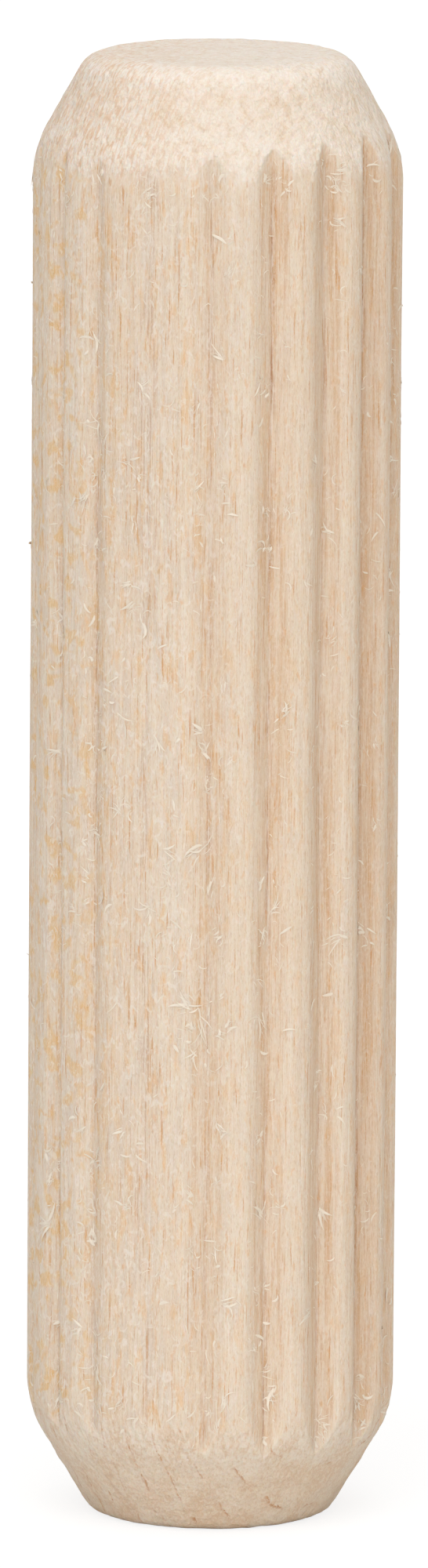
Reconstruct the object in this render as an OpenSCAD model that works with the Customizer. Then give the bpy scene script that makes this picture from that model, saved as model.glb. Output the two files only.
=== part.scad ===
// Fluted hardwood dowel pin.
//
// A round hardwood rod with straight flutes pressed along it, cut to length and then chamfered at
// both ends. The chamfers are turned after the fluting, so each rib ends in a rounded arch and each
// flute runs out to a point between two arches. The flutes let air and spare glue out of the hole.
// The pin stands on its lower end. Z runs along the axis, and Z = 0 is the lower end face.
// Every small size is a share of the diameter, so the same form serves pins from 6 to 15 mm.

/* [Pin] */
// Diameter over the ribs
pin_d = 10; // [6:0.5:15]
// Overall length
pin_len = 40; // [25:1:80]

/* [Flutes] */
// Number of flutes around the pin
flute_count = 18; // [12:1:22]
// Depth of a flute below the ribs, as a share of the diameter
flute_depth = 0.03; // [0.02:0.002:0.04]
// Slope of a flute's walls, in degrees from the surface
flute_wall = 30; // [26:1:50]
// Radius along the bottom of a flute, as a share of the diameter
flute_bottom_r = 0.028; // [0.01:0.002:0.034]
// Radius along the edges of the ribs, as a share of the diameter
rib_edge_r = 0.03; // [0.01:0.002:0.04]
// Angle from the front to the nearest flute, in degrees
first_flute = -1.2; // [-10:0.1:10]

/* [Lower end] */
// Diameter of the lower end face before its rim is rounded, as a share of the diameter
lower_face = 0.65; // [0.4:0.01:0.72]
// Length of the lower chamfer, as a share of the diameter
lower_chamfer = 0.29; // [0.2:0.01:0.4]
// Radius of the lower rim, as a share of the diameter
lower_rim_r = 0.05; // [0.02:0.005:0.08]

/* [Upper end] */
// Diameter of the upper end face before its rim is rounded, as a share of the diameter
upper_face = 0.7; // [0.4:0.01:0.72]
// Length of the upper chamfer, as a share of the diameter
upper_chamfer = 0.27; // [0.2:0.01:0.4]
// Radius of the upper rim, as a share of the diameter
upper_rim_r = 0.085; // [0.02:0.005:0.09]

/* [Blend] */
// Radius where a chamfer turns into the rod, as a share of the diameter
chamfer_blend_r = 0.28; // [0.1:0.02:0.4]

/* [Hidden] */
$fn = 96;

wood = [0.86, 0.78, 0.68];
pin_r = pin_d / 2;

// End profile points, as [radius, height]
lower_edge = [pin_d * lower_face / 2, 0];
lower_turn = [pin_r, pin_d * lower_chamfer];
upper_turn = [pin_r, pin_len - pin_d * upper_chamfer];
upper_edge = [pin_d * upper_face / 2, pin_len];

// Flute section, with x across the flute and y outward from the top of the ribs
depth = pin_d * flute_depth;
bottom_r = pin_d * flute_bottom_r;
edge_r = pin_d * rib_edge_r;
// Slope at which the rounded rib edge meets the top of the rib
edge_lift = 8;
// Drop of the round rod below the tangent plane at a flute's edge
land_drop = pin_r - sqrt(pow(pin_r, 2) - pow(pin_d * 0.062, 2));
edge_y = -land_drop - edge_r * cos(edge_lift);
wall_rise = edge_y + edge_r * cos(flute_wall) + depth - bottom_r * (1 - cos(flute_wall));
edge_x = wall_rise / tan(flute_wall) + (edge_r + bottom_r) * sin(flute_wall);
wall_foot = [bottom_r * sin(flute_wall), bottom_r * (1 - cos(flute_wall)) - depth];
wall_head = [edge_x - edge_r * sin(flute_wall), edge_y + edge_r * cos(flute_wall)];
flute_pitch = 360 / flute_count;

function unit(v) = v / norm(v);

// What a fillet of radius r removes at corner b, on the path from a through b to c
module corner_waste(a, b, c, r) {
    to_a = unit(a - b);
    to_c = unit(c - b);
    half = acos(to_a * to_c) / 2;
    run = r / tan(half);
    centre = b + unit(to_a + to_c) * r / sin(half);
    difference() {
        polygon([b + to_a * run, b + (b - centre), b + to_c * run]);
        translate(centre) circle(r = r);
    }
}

// Half section of the rod, with both chamfers blended and both rims rounded
module blank_section() {
    foot = [0, 0];
    head = [0, pin_len];
    difference() {
        polygon([foot, lower_edge, lower_turn, upper_turn, upper_edge, head]);
        corner_waste(foot, lower_edge, lower_turn, pin_d * lower_rim_r);
        corner_waste(lower_edge, lower_turn, upper_turn, pin_d * chamfer_blend_r);
        corner_waste(lower_turn, upper_turn, upper_edge, pin_d * chamfer_blend_r);
        corner_waste(upper_turn, upper_edge, head, pin_d * upper_rim_r);
    }
}

// Section of one flute: a rounded bottom, two sloping walls and rounded rib edges
module flute_section() {
    top = pin_d * 0.05;
    difference() {
        union() {
            polygon([
                [-edge_x, top],
                [-edge_x, edge_y],
                [-wall_head[0], wall_head[1]],
                [-wall_foot[0], wall_foot[1]],
                wall_foot,
                wall_head,
                [edge_x, edge_y],
                [edge_x, top]
            ]);
            translate([0, bottom_r - depth]) circle(r = bottom_r);
        }
        for (side = [-1, 1])
            translate([side * edge_x, edge_y]) circle(r = edge_r);
    }
}

// One flute, cut from end to end along the rod
module flute() {
    translate([0, 0, -1])
        linear_extrude(height = pin_len + 2)
            translate([0, -pin_r])
                mirror([0, 1])
                    flute_section();
}

module dowel_pin() {
    color(wood)
        difference() {
            rotate_extrude() blank_section();
            for (i = [0 : flute_count - 1])
                rotate([0, 0, first_flute + i * flute_pitch]) flute();
        }
}

dowel_pin();
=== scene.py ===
"""A fluted hardwood dowel pin, standing on its lower end."""
import itertools
import math

import bpy
import numpy as np
from mathutils import Matrix, Vector
from mathutils.bvhtree import BVHTree


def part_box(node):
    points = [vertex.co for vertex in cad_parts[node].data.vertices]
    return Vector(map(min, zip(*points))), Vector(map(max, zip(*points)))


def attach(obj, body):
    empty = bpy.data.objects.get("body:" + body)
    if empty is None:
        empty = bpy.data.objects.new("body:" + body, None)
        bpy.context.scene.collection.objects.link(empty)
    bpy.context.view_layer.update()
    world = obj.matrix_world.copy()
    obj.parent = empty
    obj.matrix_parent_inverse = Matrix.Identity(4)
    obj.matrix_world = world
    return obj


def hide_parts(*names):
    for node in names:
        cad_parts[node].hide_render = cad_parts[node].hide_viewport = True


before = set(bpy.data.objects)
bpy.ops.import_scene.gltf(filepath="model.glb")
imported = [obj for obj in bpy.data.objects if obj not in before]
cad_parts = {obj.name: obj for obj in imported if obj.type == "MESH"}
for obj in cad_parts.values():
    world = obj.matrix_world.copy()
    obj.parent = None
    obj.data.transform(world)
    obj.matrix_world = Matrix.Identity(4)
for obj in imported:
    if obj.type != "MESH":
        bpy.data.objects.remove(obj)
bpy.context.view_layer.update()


# ---- Camera ----
# A long lens looks slightly down on the pin from the front. The camera is turned a touch, so that
# the upright pin seems to lean to the right.
MM = 0.001
pin_low, pin_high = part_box("dowel_pin")
pin_length = pin_high.z - pin_low.z
camera_distance = 476 * MM
camera_rise = math.radians(9.4)
camera_roll = math.radians(0.38)
camera_data = bpy.data.cameras.new("camera")
camera_data.sensor_width = 36
camera_data.lens = 403
camera_data.clip_start = 0.05
camera_data.clip_end = 20
camera = bpy.data.objects.new("camera", camera_data)
bpy.context.scene.collection.objects.link(camera)
bpy.context.scene.camera = camera
aim = Vector((0, 0, pin_length / 2))
back = Vector((0, -math.cos(camera_rise), math.sin(camera_rise)))
camera.matrix_world = (
    Matrix.Translation(aim + back * camera_distance)
    @ back.to_track_quat("Z", "Y").to_matrix().to_4x4()
    @ Matrix.Rotation(camera_roll, 4, "Z")
)


# ---- Fluted pin ----
# The real pin is one stick of pale birch, turned round. Toothed rollers press the flutes into it,
# and then it is cut to length and chamfered at both ends on a lathe. It is left unsanded, so fibres
# stand proud along the shank, the flutes' edges are torn, and the cut ends are mealy.

# The blank is a plain rod. The chamfering tool leaves its rims rounded, and blends each chamfer
# into the shank
pin_radius = (pin_high.x - pin_low.x) / 2
flutes = 18
columns = 22 * flutes
shank_rows = 138
# Edges are picked by their length, to within this share of it
slack = 0.02
blend_radius = 2.8 * MM
blend_rows = 16
# Each end face is divided into narrow rings, so that saw marks can be shaped on it
face_rings = 7
face_ring_width = 0.4 * MM
# Lower end, then upper end: radius of the face, radius of its rim, length of the chamfer, height of
# the face, direction inwards, and rows of faces on the rim and on the chamfer
ends = [
    (3.25 * MM, 0.50 * MM, 2.9 * MM, 0.0, 1, 5, 20),
    (3.50 * MM, 0.85 * MM, 2.7 * MM, pin_length, -1, 9, 16),
]


def select_ring(level):
    """Selects what lies wholly at one height: its vertices, edges and faces."""
    bpy.ops.object.mode_set(mode="OBJECT")
    mesh = bpy.context.object.data
    heights = np.empty(len(mesh.vertices) * 3)
    mesh.vertices.foreach_get("co", heights)
    hair = 0.001 * MM
    picked = np.abs(heights[2::3] - level) < hair
    mesh.vertices.foreach_set("select", picked)
    for parts in (mesh.edges, mesh.polygons):
        whole = [all(picked[corner] for corner in part.vertices) for part in parts]
        parts.foreach_set("select", whole)
    bpy.ops.object.mode_set(mode="EDIT")


def select_lengthwise(shortest, longest):
    """Selects the edges that rise along the pin and whose rise lies between two lengths."""
    bpy.ops.object.mode_set(mode="OBJECT")
    mesh = bpy.context.object.data
    heights = np.empty(len(mesh.vertices) * 3)
    mesh.vertices.foreach_get("co", heights)
    corners = np.empty(len(mesh.edges) * 2, int)
    mesh.edges.foreach_get("vertices", corners)
    climb = np.abs(np.diff(heights[2::3][corners.reshape(-1, 2)], axis=1))[:, 0]
    mesh.vertices.foreach_set("select", [False] * len(mesh.vertices))
    mesh.polygons.foreach_set("select", [False] * len(mesh.polygons))
    mesh.edges.foreach_set("select", (climb > shortest) & (climb < longest))
    bpy.ops.object.mode_set(mode="EDIT")


bpy.ops.object.select_all(action="DESELECT")
bpy.ops.mesh.primitive_cylinder_add(
    vertices=columns, radius=pin_radius, depth=pin_length, location=(0, 0, pin_length / 2)
)
pin = bpy.context.object
pin.name = "fluted_pin"
bpy.ops.object.transform_apply(location=True, rotation=True, scale=True)
bpy.ops.object.mode_set(mode="EDIT")
bpy.ops.mesh.select_mode(type="EDGE")
for face_radius, rim_radius, chamfer, end_level, inward, rim_rows, chamfer_rows in ends:
    turn = end_level + inward * chamfer
    slope = math.atan((pin_radius - face_radius) / chamfer)
    blend_reach = blend_radius * math.tan(slope / 2)
    rim_reach = rim_radius * math.tan((math.pi / 2 - slope) / 2)
    bpy.ops.mesh.select_all(action="SELECT")
    bpy.ops.mesh.bisect(plane_co=(0, 0, turn), plane_no=(0, 0, 1))
    select_ring(end_level)
    shrink = face_radius / pin_radius
    bpy.ops.transform.resize(value=(shrink, shrink, 1), center_override=(0, 0, end_level))
    select_ring(turn)
    bpy.ops.mesh.bevel(offset=blend_reach, segments=blend_rows, profile=0.5)
    select_ring(end_level)
    bpy.ops.mesh.bevel(offset=rim_reach, segments=rim_rows, profile=0.5)
    # What is left of the chamfer between its blend and its rim, measured along the pin
    straight = chamfer - (blend_reach + rim_reach) * math.cos(slope)
    select_lengthwise(straight * (1 - slack), straight * (1 + slack))
    bpy.ops.mesh.subdivide(number_cuts=chamfer_rows - 1)
    select_ring(end_level)
    for _ in range(face_rings):
        bpy.ops.mesh.inset(thickness=face_ring_width)
    bpy.ops.mesh.poke()
select_lengthwise(pin_length / 2, pin_length)
bpy.ops.mesh.subdivide(number_cuts=shank_rows - 1)
bpy.ops.object.mode_set(mode="OBJECT")

# The flutes: the rollers bite deeper on the right, and each flute wavers a little. From here on
# lengths are in mm, unless MM stands beside them
radius_mm, length_mm = pin_radius / MM, pin_length / MM
pitch = math.tau / flutes
flute_angle = math.radians(-90 - 1.7)
# Depth and half width of a flute midway between right and left, before the losses below, and how
# much both grow to the right and shrink to the left
mid_depth, depth_change = 0.31, 0.11
mid_half_width, half_width_change = 0.50, 0.10
# What a flute loses in depth: on the left, in front, and where the tooth is worn
left_loss, front_loss, worn_loss = 0.08, 0.025, 0.23
# What it loses in half width on the left, and how much one wall is steeper where it leans
left_narrowing, lean = 0.10, 0.11
# How far the flutes on the left lie nearer the front
most_drift = math.radians(3.3)
# Radii that soften the bottom of a flute and the edges of a rib
bottom_softness = 0.08
edge_softness = 0.07
# A crease in the bottom of a flute: its depth, and its half width at the split and in colour
crease_depth, split_reach, crease_reach = 0.035, 0.04, 0.08
# The mesh's columns are gathered towards the bottoms of the flutes, where the shape turns most
gather = 0.4


def unevenness(place, size, seed):
    """Smooth random heights from -1 to 1 at places in mm, in bumps of a size along x, y and z."""
    seed_step, mix, gain = 17.3, (127.1, 311.7, 74.7), 43758.5453
    spot = place / np.array(size) + seed_step * seed
    cell = np.floor(spot)
    part = spot - cell
    part = part * part * (3 - 2 * part)
    total = np.zeros(len(place))
    for corner in itertools.product((0, 1), repeat=3):
        weight = np.prod(np.where(corner, part, 1 - part), axis=1)
        scatter = np.sin((cell + corner) @ mix + seed) * gain
        total += weight * (scatter - np.floor(scatter))
    return 2 * total - 1


def rise(value, low, high):
    """A smooth step from 0 to 1 as a value goes from low to high."""
    share = np.clip((value - low) / (high - low), 0, 1)
    return share * share * (3 - 2 * share)


mesh = pin.data
place = np.empty(len(mesh.vertices) * 3)
mesh.vertices.foreach_get("co", place)
place = place.reshape(-1, 3) / MM
height = place[:, 2].copy()
blank = np.hypot(place[:, 0], place[:, 1])

# The nearest flute, how far it lies to the right, from -1 to 1, and the place across it in pitches
turns = (np.arctan2(place[:, 1], place[:, 0]) - flute_angle) / pitch
flute = np.round(turns)
to_right = np.cos(flute_angle + pitch * flute)
# The roller teeth slide a little on the left: the flutes there lean, and lie nearer the front
slid = rise(-to_right, 0.55, 0.95)
drift = most_drift * slid / pitch
across = turns - flute - drift
across = across - gather * np.sin(math.tau * across) / math.tau
flute = flute % flutes
angle = flute_angle + pitch * (flute + drift + across)
reach = radius_mm * pitch * across

# Section of each flute. One tooth is worn and barely marks the wood. Each flute reads the
# unevenness along a line of its own
worn_tooth = flute == flutes - 1
narrow = rise(-to_right, 0.4, 0.7)
centre_line = np.column_stack([flute * 3.1, flute * 1.7, height])
depth = (
    mid_depth
    + depth_change * to_right
    - left_loss * narrow * (1 - slid)
    - front_loss * np.exp(-((to_right / 0.2) ** 2))
    + 0.02 * unevenness(centre_line, (1, 1, 5), 3)
    - worn_loss * worn_tooth
)
half_width = (
    mid_half_width
    + half_width_change * to_right
    - left_narrowing * narrow
    - lean * slid * np.tanh(reach / 0.05)
)
bottom = np.sqrt(reach**2 + bottom_softness**2) - bottom_softness

# The bottoms split here and there into a crease, and each flute wanders to left and right
split = rise(unevenness(centre_line, (1, 1, 5), 4), -0.3, 0.7)
crease = np.exp(-((reach / crease_reach) ** 2)) * (0.3 + 0.7 * split) * (1 - worn_tooth)
split_depth = crease_depth * np.exp(-((reach / split_reach) ** 2)) * split
pressed = radius_mm - depth + depth / half_width * bottom - split_depth
wander = 0.025 * unevenness(centre_line, (1, 1, 9), 1)
wander += 0.01 * unevenness(centre_line, (1, 1, 1.7), 2)
angle += wander / radius_mm * (0.5 + 0.5 * np.cos(math.tau * across))

# What the chamfering tool has cut, with a ragged border, and what is left of the shank. The tool
# cuts all of the last 1.5 mm at each end
all_cut_length = 1.5
around = np.column_stack([blank * np.cos(angle), blank * np.sin(angle), height])
to_end = np.minimum(height, length_mm - height)
upper = rise(height, length_mm / 2 - 1, length_mm / 2 + 1)
ragged = 0.05 * unevenness(around, (0.16, 0.16, 0.4), 13)
below_rod = rise(radius_mm - blank + ragged, 0.02, 0.12)
below_flute = rise(pressed - blank + ragged, -0.05, 0.03)
cut = np.where(to_end < all_cut_length, 1, below_rod * below_flute)
shank = 1 - cut

# Raised grain and torn edges on the shank, and a mealy surface where the tool has cut
grain = (
    0.010 * unevenness(around, (4, 4, 12), 5)
    + 0.008 * unevenness(around, (0.35, 0.35, 6), 6)
    + 0.007 * unevenness(around, (0.17, 0.17, 2.5), 7)
)
torn = 0.03 * rise(unevenness(around, (0.3, 0.3, 0.8), 8), 0.45, 0.9)
torn = torn * rise(np.abs(reach), 0.25, 0.5)
mealy = (
    0.022 * unevenness(around, (0.32, 0.32, 0.35), 9)
    + 0.014 * unevenness(around, (0.17, 0.17, 0.2), 10)
)
blank = blank + shank * grain + cut * mealy * rise(blank, 1, 3)
pressed = pressed + grain * 0.7 - torn * shank

# The lower of the turned rod and the flute is the surface, with a soft edge between them, which is
# crisper where it has been cut. No flute reaches in as far as 4 mm from the axis
core_radius = 4
gap = blank - pressed
softness = edge_softness * (1 - 0.75 * cut)
radius = 0.5 * (blank + pressed - np.sqrt(gap**2 + softness**2))
radius = np.where(blank < core_radius, blank, radius)
place[:, 0] = radius * np.cos(angle)
place[:, 1] = radius * np.sin(angle)
on_face = 1 - rise(to_end, 0.0, 0.25)
sawn = (
    0.005 * unevenness(around, (2.5, 0.4, 1), 11)
    + 0.012 * unevenness(around, (0.25, 0.25, 1), 12)
    - 0.017
)
place[:, 2] = height + np.where(height < length_mm / 2, -1, 1) * sawn * on_face
mesh.vertices.foreach_set("co", (place * MM).ravel())

# How strongly each place was pressed, split, scraped or cut, for the wood's colour.
# Some of these shares also carry painted shade, and one carries painted sheen, as said below
depth_share = np.clip((blank - radius) / depth, 0, 1)
# The pressed share is strongest on the right and deep in the flutes. This is partly real bruising
# where the teeth bite deeper, and partly painted shade of the hollows and of the right side, which
# faces away from the main lamp
bruised = (0.35 + 0.65 * rise(to_right, -0.3, 0.5)) * (1 - 0.8 * worn_tooth)
scraped = worn_tooth * np.exp(-((reach / 0.3) ** 2))
scraped = scraped * rise(unevenness(around, (0.5, 0.5, 3), 14), -0.5, 0.4)
marks = {
    "pressed": shank * bruised * (0.06 + 0.94 * rise(depth_share, 0.05, 0.6)),
    # The crease share darkens the deepest flute bottoms. This is partly split fibre, and partly
    # painted shade in the narrow crease
    "crease": shank * np.maximum(crease * rise(depth_share, 0.4, 0.8), 0.45 * scraped),
    "ragged_edge": cut * rise(blank, 4.1, 4.8),
    # The upper face share makes the top face and its rim paler. This is partly mealy sawn cells,
    # and partly painted sheen and light from above
    "upper_face": (1 - rise(to_end, 0.3, 0.9)) * upper,
    "upper_cut": cut * upper,
    "lower_cut": cut * (1 - upper),
}
for name, share in marks.items():
    mesh.attributes.new(name, "FLOAT", "POINT").data.foreach_set("value", share)
mesh.update()
bpy.ops.object.select_all(action="DESELECT")
pin.select_set(True)
bpy.context.view_layer.objects.active = pin
bpy.ops.object.shade_smooth()


# Birch, turned and left unsanded: a pale cream wood with a dull surface. Bands of fibre run along
# it, the pores are fine brown dashes, growth rings show as thin reddish lines on the cut ends, and
# the rays show as amber flecks that lie across the left of the pin like the rungs of a ladder.
def linear(code):
    """The linear colour, with alpha, of an sRGB hex code."""
    shares = [int(code[at : at + 2], 16) / 255 for at in (1, 3, 5)]
    return [
        share / 12.92 if share <= 0.04045 else ((share + 0.055) / 1.055) ** 2.4
        for share in shares
    ] + [1]


def node(tree, kind, inputs=(), **settings):
    """Adds a node, sets its properties, and fills its inputs with values or others' outputs."""
    made = tree.nodes.new(kind)
    for name, value in settings.items():
        setattr(made, name, value)
    for name, value in dict(inputs).items():
        if isinstance(value, bpy.types.NodeSocket):
            tree.links.new(value, made.inputs[name])
        else:
            made.inputs[name].default_value = value
    return made


birch = bpy.data.materials.new("turned_birch")
birch.use_nodes = True
tree = birch.node_tree
shader = tree.nodes["Principled BSDF"]
own_place = node(tree, "ShaderNodeTexCoord").outputs["Object"]
to_side = node(tree, "ShaderNodeSeparateXYZ", {"Vector": own_place}).outputs["X"]
# Millimetres, turned so that X runs across the growth rings, Y along them and Z along the fibres
wood = node(
    tree,
    "ShaderNodeMapping",
    {"Vector": own_place, "Scale": (1000, 1000, 1000), "Rotation": (0, 0, math.radians(45))},
).outputs["Vector"]
in_wood = node(tree, "ShaderNodeSeparateXYZ", {"Vector": wood}).outputs

# The shares of the surface that were marked with the flutes
marked = {
    name: node(tree, "ShaderNodeAttribute", attribute_name=name).outputs["Fac"] for name in marks
}
pressed_and_shaded_share, crease_share = marked["pressed"], marked["crease"]
upper_share, lower_share = marked["upper_cut"], marked["lower_cut"]
cut_share = node(
    tree, "ShaderNodeMath", {0: upper_share, 1: lower_share}, operation="ADD"
).outputs[0]
shank_share = node(
    tree, "ShaderNodeMath", {0: 1.0, 1: cut_share}, operation="SUBTRACT"
).outputs[0]

# Growth rings 0.72 mm apart, each with a thin dark line of late wood at its outer edge. They show
# plainly on the lower cut, and faintly on the upper one
ring_period = 0.72
rings = node(
    tree,
    "ShaderNodeTexWave",
    {
        "Vector": wood,
        "Scale": math.tau / 20 / ring_period,
        "Distortion": 1.8,
        "Detail": 5.0,
        "Detail Scale": 1.6,
        "Detail Roughness": 0.65,
    },
    wave_type="BANDS",
    bands_direction="X",
    wave_profile="SAW",
).outputs["Fac"]
ring_surface = node(
    tree, "ShaderNodeMath", {0: upper_share, 1: 0.3}, operation="MULTIPLY"
).outputs[0]
ring_surface = node(
    tree, "ShaderNodeMath", {0: ring_surface, 1: lower_share}, operation="ADD"
).outputs[0]

# One year grew darker wood, 1.1 mm from the pin's axis
from_year = node(
    tree, "ShaderNodeMath", {0: in_wood["X"], 1: 1.1}, operation="SUBTRACT"
).outputs[0]
from_year = node(tree, "ShaderNodeMath", {0: from_year}, operation="ABSOLUTE").outputs[0]

# Where the wood's figure shows: the value that it follows, where it starts and where it is full,
# its least share, and the surface that it lies on
figure = {}
for name, value, start, full, least, surface in [
    ("dark year", from_year, 1.0, 0.3, 0.0, shank_share),
    # The heartwood tint lies along the right side. It is partly the wood's own warmer tone, and
    # partly painted shade of the side that faces away from the main lamp
    ("heartwood_and_side_shade", in_wood["Y"], -0.2, 1.4, 0.0, shank_share),
    ("late wood", rings, 0.90, 0.99, 0.0, ring_surface),
    # The rays show along the left side, where the surface runs along them
    ("rays", to_side, -2.0 * MM, -4.3 * MM, 0.05, shank_share),
    # The right side is cut along the rings, and its wood is the plainest
    ("clouds", to_side, 1.5 * MM, -1.5 * MM, 0.5, shank_share),
    # The chamfering tool meets the grain on the left, and tears it most there
    ("torn", to_side, 1.0 * MM, -3.5 * MM, 0.2, upper_share),
]:
    share = node(
        tree,
        "ShaderNodeMapRange",
        {"Value": value, "From Min": start, "From Max": full, "To Min": least},
        interpolation_type="SMOOTHSTEP",
    ).outputs["Result"]
    figure[name] = node(
        tree, "ShaderNodeMath", {0: share, 1: surface}, operation="MULTIPLY"
    ).outputs[0]
everywhere = 1.0

# Each layer: size across the rings, along them and along the pin in mm, detail, distortion, noise
# from and to, strength, colour, and where it lies
layers = [
    # The log's own figure, though the heartwood tint on the right is partly painted shade
    ("darker year", (0.9, 0.9, 30), 0, 0, 0.00, 0.20, 0.16, "#DDB894", figure["dark year"]),
    ("heartwood_and_side_shade", (1.5, 1.5, 30), 0, 0, 0.00, 0.60, 0.24, "#DDAB7C", figure["heartwood_and_side_shade"]),
    ("broad bands", (1.0, 1.0, 25), 2, 0, 0.42, 0.62, 0.22, "#E0C4A4", everywhere),
    ("grey bands", (0.35, 0.35, 2.0), 2, 0.2, 0.46, 0.62, 0.50, "#E0D2C4", figure["clouds"]),
    ("amber clouds", (0.28, 0.28, 1.0), 2, 0.4, 0.53, 0.68, 0.46, "#EDBC7E", figure["clouds"]),
    # Streaks of fibre along the shank, darkest where the teeth have bruised it. The same mask
    # also paints the shade deep in the flutes and on the right side
    ("tan streaks", (0.16, 0.16, 5), 3, 0.15, 0.47, 0.66, 0.50, "#D6AC80", pressed_and_shaded_share),
    ("comb lines", (0.05, 0.05, 2.2), 3, 0.15, 0.48, 0.66, 0.17, "#D3AE82", shank_share),
    ("cream streaks", (0.12, 0.12, 3), 2, 0, 0.50, 0.70, 0.42, "#F3E7D6", shank_share),
    ("fibres", (0.045, 0.045, 1.4), 3, 0, 0.50, 0.70, 0.42, "#C8956A", pressed_and_shaded_share),
    ("pores", (0.06, 0.06, 1.2), 3, 0.15, 0.60, 0.70, 0.66, "#D0924F", shank_share),
    # Dark lines along the crease: partly split fibre, and partly painted shade in the crease
    ("crease", (0.06, 0.06, 3.0), 2, 0, 0.20, 0.50, 0.15, "#BE8C62", crease_share),
    ("split fibres", (0.045, 0.045, 1.8), 2, 0, 0.50, 0.59, 0.90, "#B3733F", crease_share),
    ("pale fibres", (0.045, 0.045, 0.9), 2, 0, 0.50, 0.70, 0.34, "#F5EBDE", shank_share),
    ("rays", (0.50, 0.20, 0.42), 1, 0.3, 0.53, 0.66, 0.56, "#EABD76", figure["rays"]),
    ("amber dabs", (0.12, 0.12, 0.35), 2, 0.2, 0.60, 0.74, 0.45, "#E6B37B", shank_share),
    # Torn fibre that lies on the surface
    ("lint", (0.06, 0.06, 0.45), 3, 0.8, 0.52, 0.64, 0.65, "#F5ECE0", crease_share),
    ("fuzz", (0.20, 0.20, 0.32), 6, 1.3, 0.53, 0.66, 0.56, "#F5ECE1", figure["clouds"]),
    ("curls", (0.07, 0.07, 0.12), 2, 1.5, 0.54, 0.72, 0.32, "#F6EDE2", everywhere),
    # Single fibres are about 0.02 mm wide. Felt and grit are drawn wider, so that they show
    ("felt", (0.034, 0.034, 0.12), 1, 0, 0.50, 0.72, 0.26, "#F6EDE3", everywhere),
    ("grit", (0.034, 0.034, 0.14), 1, 0, 0.52, 0.74, 0.26, "#C2996B", everywhere),
    # The cut ends
    ("bruised wood", (0.9, 0.9, 1.2), 4, 0, 0.40, 0.60, 0.34, "#D9AE86", lower_share),
    ("late wood", (0.8, 0.8, 0.8), 3, 0, 0.44, 0.56, 0.78, "#C58A56", figure["late wood"]),
    ("mealy", (0.07, 0.07, 0.11), 3, 0.5, 0.46, 0.64, 0.42, "#DBBD9C", cut_share),
    ("crumbs", (0.13, 0.13, 0.16), 5, 1.5, 0.46, 0.60, 0.54, "#F1E3D1", lower_share),
    ("ragged edge", (0.1, 0.1, 0.4), 3, 0.6, 0.40, 0.60, 0.55, "#F6ECDF", marked["ragged_edge"]),
    # The upper cut is drawn paler than the lower. This is partly torn, mealy cells, and partly
    # painted sheen and light from above on the upper end
    ("torn cells", (0.4, 0.4, 0.5), 5, 0.5, 0.28, 0.60, 0.46, "#FAF4ED", upper_share),
    ("sawn cells", (0.18, 0.18, 0.18), 6, 0.8, 0.28, 0.58, 0.50, "#FAF4ED", marked["upper_face"]),
    ("torn streaks", (0.07, 0.22, 0.30), 4, 0.6, 0.42, 0.64, 0.50, "#DDAB7E", figure["torn"]),
]
colour = linear("#ECDBC7")
for name, size, detail, distortion, low, high, strength, tint, where in layers:
    spread = node(
        tree,
        "ShaderNodeMapping",
        {"Vector": wood, "Scale": [1 / side for side in size]},
        label=name,
    )
    noise = node(
        tree,
        "ShaderNodeTexNoise",
        {"Vector": spread.outputs[0], "Scale": 1.0, "Detail": detail, "Distortion": distortion},
    )
    share = node(
        tree,
        "ShaderNodeMapRange",
        {"Value": noise.outputs["Fac"], "From Min": low, "From Max": high, "To Max": strength},
        interpolation_type="SMOOTHSTEP",
    ).outputs["Result"]
    share = node(tree, "ShaderNodeMath", {0: share, 1: where}, operation="MULTIPLY").outputs[0]
    colour = node(
        tree, "ShaderNodeMix", {0: share, 6: colour, 7: linear(tint)}, data_type="RGBA"
    ).outputs[2]
# Pressing darkens the whole flute a little, and this warm tint also paints the shade in the
# flutes' hollows, most of all on the right
squeezed_and_shaded = node(
    tree, "ShaderNodeMath", {0: pressed_and_shaded_share, 1: 0.13}, operation="MULTIPLY"
).outputs[0]
colour = node(
    tree, "ShaderNodeMix", {0: squeezed_and_shaded, 6: colour, 7: linear("#CDA070")}, data_type="RGBA"
).outputs[2]
tree.links.new(colour, shader.inputs["Base Color"])
shader.inputs["Roughness"].default_value = 0.75
shader.inputs["Specular IOR Level"].default_value = 0.12
# Light goes a fraction of a millimetre into the wood, and red light furthest, so hollows look warm
shader.inputs["Subsurface Weight"].default_value = 0.25
shader.inputs["Subsurface Radius"].default_value = (1.0, 0.5, 0.25)
shader.inputs["Subsurface Scale"].default_value = 0.5 * MM

# Fine roughness: fibres along the shank, and sawn cells on the cut ends, which are the rougher
bump_height = 0.0
for size, detail, amount, where in [
    ((0.09, 0.09, 2.5), 2, 1.0, shank_share),
    ((0.14, 0.14, 0.18), 4, 2.8, cut_share),
]:
    spread = node(
        tree, "ShaderNodeMapping", {"Vector": wood, "Scale": [1 / side for side in size]}
    )
    noise = node(
        tree,
        "ShaderNodeTexNoise",
        {"Vector": spread.outputs[0], "Scale": 1.0, "Detail": detail},
    )
    lift = noise.outputs["Fac"]
    for factor in (amount, where):
        lift = node(tree, "ShaderNodeMath", {0: lift, 1: factor}, operation="MULTIPLY").outputs[0]
    bump_height = node(
        tree, "ShaderNodeMath", {0: bump_height, 1: lift}, operation="ADD"
    ).outputs[0]
bump = node(
    tree, "ShaderNodeBump", {"Height": bump_height, "Strength": 1.0, "Distance": 0.03 * MM}
)
tree.links.new(bump.outputs["Normal"], shader.inputs["Normal"])
pin.data.materials.append(birch)

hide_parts("dowel_pin")
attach(pin, "root")


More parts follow.
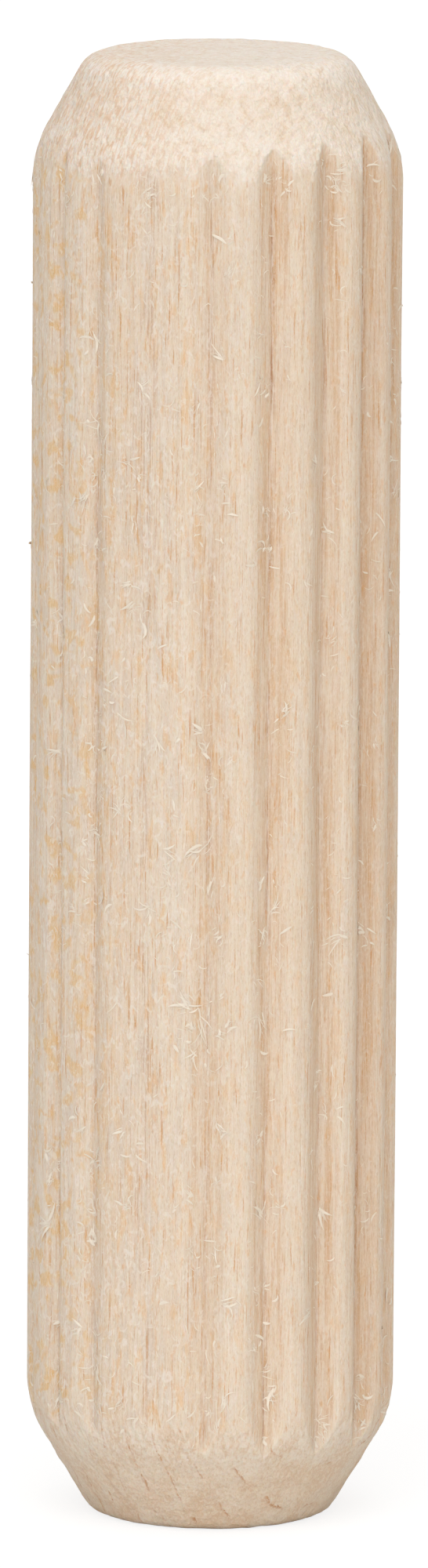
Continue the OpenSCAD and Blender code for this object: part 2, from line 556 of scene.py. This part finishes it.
# ---- Raised fibres ----
# Pressing the flutes tears fibres loose along their edges. They stay rooted in the wood and curl up
# from it, alone or in tufts, most of them along the flutes and where these run out on a chamfer.
# One strand is modelled, a flat tapered strip, and the others are copies of it.
tufts = 2500
# A strand's mean length and half width, its least and greatest half width, and the most that it
# measures from its middle to its flat side
mean_fibre_length, mean_fibre_half_width = 0.21, 0.014
narrowest, widest = 0.006, 0.042
thickest = 0.005
draw = np.random.default_rng(18)
# A tuft is likelier along a flute's edges than on the ribs, and likeliest in the fringe of torn
# fibre where the chamfering tool has cut through a flute
normals = np.empty(len(mesh.vertices) * 3)
mesh.vertex_normals.foreach_get("vector", normals)
normals = normals.reshape(-1, 3)
likely = 0.25 + rise(depth_share, 0.05, 0.4) * (1 - rise(depth_share, 0.5, 0.95))
likely *= 0.10 + rise(unevenness(around, (1.2, 1.2, 2.5), 21), -0.3, 0.5)
fringe = rise(depth_share, 0.15, 0.4) * np.exp(-(((cut - 0.5) / 0.4) ** 2))
likely = likely * shank * rise(to_end, 1.6, 3.2) + 0.6 * fringe
tuft_roots = draw.choice(len(place), size=tufts, replace=False, p=likely / likely.sum())
# A fifth of the tufts have several strands, and those with the most lie together like a feather
strands = np.where(draw.random(tufts) < 0.2, draw.integers(3, 9, tufts), 1)
root = np.repeat(tuft_roots, strands)
fibre_count = len(root)
side = np.cross((0, 0, 1), normals[root])
side /= np.linalg.norm(side, axis=1, keepdims=True)
along = np.cross(normals[root], side)
turned_back = math.pi * (draw.random(fibre_count) < 0.12)
feather = np.repeat(strands > 5, strands)
heading = (
    np.repeat(draw.uniform(0, math.tau, tufts), strands)
    + draw.normal(0, np.where(feather, 0.35, 0.6))
    + turned_back
)
stretch = (
    np.repeat(np.exp(draw.normal(0, 0.35, tufts)), strands)
    * np.exp(draw.normal(0, 0.25, fibre_count))
    * np.where(feather, 1.2, 1)
)
fibre_length = mean_fibre_length * stretch
flake = draw.random(fibre_count) < 0.14
fibre_half_width = (
    mean_fibre_half_width
    * np.sqrt(stretch)
    * np.exp(draw.normal(0, 0.35, fibre_count))
    * np.where(flake, 2.1, 1)
    * np.where(feather, 0.8, 1)
)
fibre_half_width = np.clip(fibre_half_width, narrowest, widest)
bend = draw.normal(0, np.where(feather, 0.7, 1.3))
lift = draw.uniform(0.002, 0.018, fibre_count)
curl = draw.uniform(0, 0.15, fibre_count) * fibre_length

# The strand before it is shaped, and its width at each ring from root to tip
fibre_rings, fibre_sides = 5, 4
strand_radius, strand_length = 0.02, 0.2
strand_form = np.array([0.7, 1.1, 1.0, 0.75, 0.15])
bpy.ops.object.select_all(action="DESELECT")
bpy.ops.mesh.primitive_cylinder_add(
    vertices=fibre_sides, radius=strand_radius * MM, depth=strand_length * MM
)
fibres = bpy.context.object
fibres.name = "raised_fibres"
select_lengthwise(strand_length * (1 - slack) * MM, strand_length * (1 + slack) * MM)
bpy.ops.mesh.subdivide(number_cuts=fibre_rings - 2)
bpy.ops.object.mode_set(mode="OBJECT")
strip = fibres.data
corner = np.empty(len(strip.vertices) * 3)
strip.vertices.foreach_get("co", corner)
corner = corner.reshape(-1, 3) / MM
ring = np.round((corner[:, 2] / strand_length + 0.5) * (fibre_rings - 1)).astype(int)
copies = fibres.modifiers.new("copies", "ARRAY")
copies.count = fibre_count
copies.use_relative_offset = False
bpy.ops.object.modifier_apply(modifier="copies")

share = np.linspace(0, 1, fibre_rings)[None, :, None]
bearing = heading[:, None, None] + bend[:, None, None] * share
step = (fibre_length[:, None, None] / (fibre_rings - 1)) * (
    np.cos(bearing) * side[:, None] + np.sin(bearing) * along[:, None]
)
spine = np.cumsum(step, axis=1) - step[:, :1]
spine += place[root][:, None] + side[:, None] * draw.normal(0, 0.04, (fibre_count, 1, 1))
spine += along[:, None] * draw.normal(0, 0.08, (fibre_count, 1, 1))
# Each strand follows the wood's surface, is rooted just below it, and lifts off towards its tip
surface = BVHTree.FromObject(pin, bpy.context.evaluated_depsgraph_get())
nearest = [surface.find_nearest(Vector(point) * MM)[:2] for point in spine.reshape(-1, 3)]
spine = np.array([spot for spot, _ in nearest]).reshape(spine.shape) / MM
out = np.array([normal for _, normal in nearest]).reshape(spine.shape)
rooted = 0.003
spine += out * (
    np.sin(math.pi * share) * lift[:, None, None] + share**2 * curl[:, None, None] - rooted
)
forward = np.gradient(spine, axis=1)
forward /= np.linalg.norm(forward, axis=2, keepdims=True)
flat = np.cross(out, forward) + out * draw.normal(0, 0.25, (fibre_count, 1, 1))
flat -= forward * np.sum(flat * forward, axis=2, keepdims=True)
flat /= np.linalg.norm(flat, axis=2, keepdims=True)
upright = np.cross(forward, flat)
taper = strand_form[None, :, None] * fibre_half_width[:, None, None]
thickness = np.minimum(taper * 0.3, thickest)
turned = np.arctan2(corner[:, 1], corner[:, 0])[None, :, None]
fibre_place = (
    spine[:, ring]
    + flat[:, ring] * taper[:, ring] * np.cos(turned)
    + upright[:, ring] * thickness[:, ring] * np.sin(turned)
)
fibres.data.vertices.foreach_set("co", (fibre_place * MM).ravel())
fibres.data.update()

# Torn birch fibre, loose and dry: paler than the wood it came from, and as dull
loose = bpy.data.materials.new("torn_birch_fibre")
loose.use_nodes = True
tree = loose.node_tree
shader = tree.nodes["Principled BSDF"]
own_place = node(tree, "ShaderNodeTexCoord").outputs["Object"]
wisp_size = 0.3 * MM
wisps = node(
    tree, "ShaderNodeTexNoise", {"Vector": own_place, "Scale": 1 / wisp_size, "Detail": 2.0}
).outputs["Fac"]
colour = node(
    tree,
    "ShaderNodeMix",
    {0: wisps, 6: linear("#EEDFCB"), 7: linear("#F8F0E3")},
    data_type="RGBA",
).outputs[2]
tree.links.new(colour, shader.inputs["Base Color"])
shader.inputs["Roughness"].default_value = 0.8
shader.inputs["Specular IOR Level"].default_value = 0.12
fibres.data.materials.append(loose)
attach(fibres, "root")


# ---- Floor ----
# A sheet of white paper, which the pin stands on and casts its soft shadow on. The camera sees it
# glow as bright as the background, while it lights the pin as plain paper does.
bpy.ops.object.select_all(action="DESELECT")
bpy.ops.mesh.primitive_plane_add(size=4, location=(0, 0, 0))
floor = bpy.context.object
floor.name = "floor"
paper = bpy.data.materials.new("white_paper")
paper.use_nodes = True
tree = paper.node_tree
tree.nodes.clear()
to_camera = node(tree, "ShaderNodeLightPath").outputs["Is Camera Ray"]
lit = node(tree, "ShaderNodeBsdfDiffuse", {"Color": (0.84, 0.84, 0.84, 1)})
lit_to_camera = node(tree, "ShaderNodeBsdfDiffuse", {"Color": (0.25, 0.25, 0.25, 1)})
glow = node(tree, "ShaderNodeEmission", {"Strength": 0.82})
seen = node(tree, "ShaderNodeAddShader", {0: lit_to_camera.outputs[0], 1: glow.outputs[0]})
both = node(
    tree, "ShaderNodeMixShader", {0: to_camera, 1: lit.outputs[0], 2: seen.outputs[0]}
)
node(tree, "ShaderNodeOutputMaterial", {"Surface": both.outputs[0]})
floor.data.materials.append(paper)


# ---- Studio light ----
# A large soft lamp stands to the left of the camera, a weaker and warmer one to its right, and one
# hangs overhead, inside a tent of white cloth that is seen as pure white and lights the pin dimly.
tent = bpy.data.worlds.new("white_tent")
bpy.context.scene.world = tent
tent.use_nodes = True
tree = tent.node_tree
tree.nodes.clear()
path = node(tree, "ShaderNodeLightPath").outputs
seen = path["Is Camera Ray"]
for kind in ("Is Glossy Ray", "Is Transmission Ray"):
    seen = node(tree, "ShaderNodeMath", {0: seen, 1: path[kind]}, operation="MAXIMUM").outputs[0]
level = node(tree, "ShaderNodeMapRange", {"Value": seen, "To Min": 0.22, "To Max": 1.0})
warmth = node(
    tree,
    "ShaderNodeMix",
    {0: seen, 6: (1.05, 0.98, 0.88, 1), 7: (1, 1, 1, 1)},
    data_type="RGBA",
)
background = node(
    tree,
    "ShaderNodeBackground",
    {"Color": warmth.outputs[2], "Strength": level.outputs["Result"]},
)
node(tree, "ShaderNodeOutputWorld", {"Surface": background.outputs[0]})
# Each lamp: degrees to the right and above, strength, and colour. At strength 1, a lamp square to a
# surface shows its colour as it is written
for name, rightward, upward, strength, tint in [
    ("left_softbox", -15, 35, 0.43, (0.985, 1.0, 1.02)),
    ("right_softbox", 48, 15, 0.15, (1.05, 0.98, 0.88)),
    ("ceiling_softbox", 0, 88, 0.40, (1.0, 1.0, 1.0)),
]:
    lamp_data = bpy.data.lights.new(name, "SUN")
    lamp_data.energy = strength * math.pi
    lamp_data.angle = math.radians(60)
    lamp_data.color = tint
    lamp = bpy.data.objects.new(name, lamp_data)
    bpy.context.scene.collection.objects.link(lamp)
    lamp.rotation_euler = (math.radians(90 - upward), 0, math.radians(rightward))
bpy.context.scene.view_settings.view_transform = "Standard"
